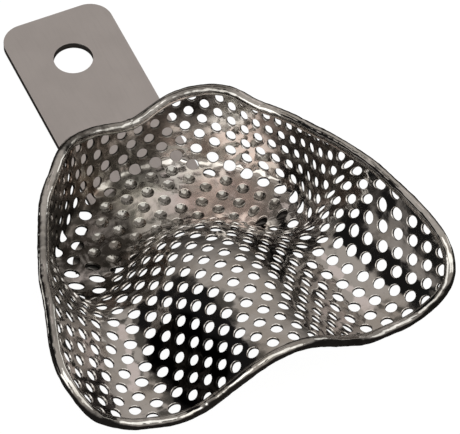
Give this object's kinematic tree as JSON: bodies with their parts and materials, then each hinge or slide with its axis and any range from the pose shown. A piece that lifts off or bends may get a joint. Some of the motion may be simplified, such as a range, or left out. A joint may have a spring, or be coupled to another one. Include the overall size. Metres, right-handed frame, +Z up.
{
  "type": "impression tray",
  "caption": "Perforated upper dental impression tray: pressed bowl with raised vault and saddles, border wire, and a flat strap handle with a hanging hole.",
  "frame": {"origin": "on the underside of the handle strap, on the midline, under the front of the tray's floor", "axes": "+Y along the handle away from the tray, +X to the tray's side, +Z up, out of the bowl's open side"},
  "size_m": [0.0723, 0.1027, 0.0238],
  "materials": {
    "sheet": "bright nickel plate, lightly worn",
    "wire": "bright nickel plate over a lumpy soldered bead",
    "strap": "satin nickel plate",
    "plate": "dull nickel plate",
    "solder": "plated solder with small dimples"
  },
  "bodies": {
    "root": {"tray_shell": "sheet", "rim_wire": "wire", "rim_joint_solder": "solder", "handle_strap": "strap", "arch_plate": "plate", "floor_solder": "solder"}
  },
  "joints": []
}
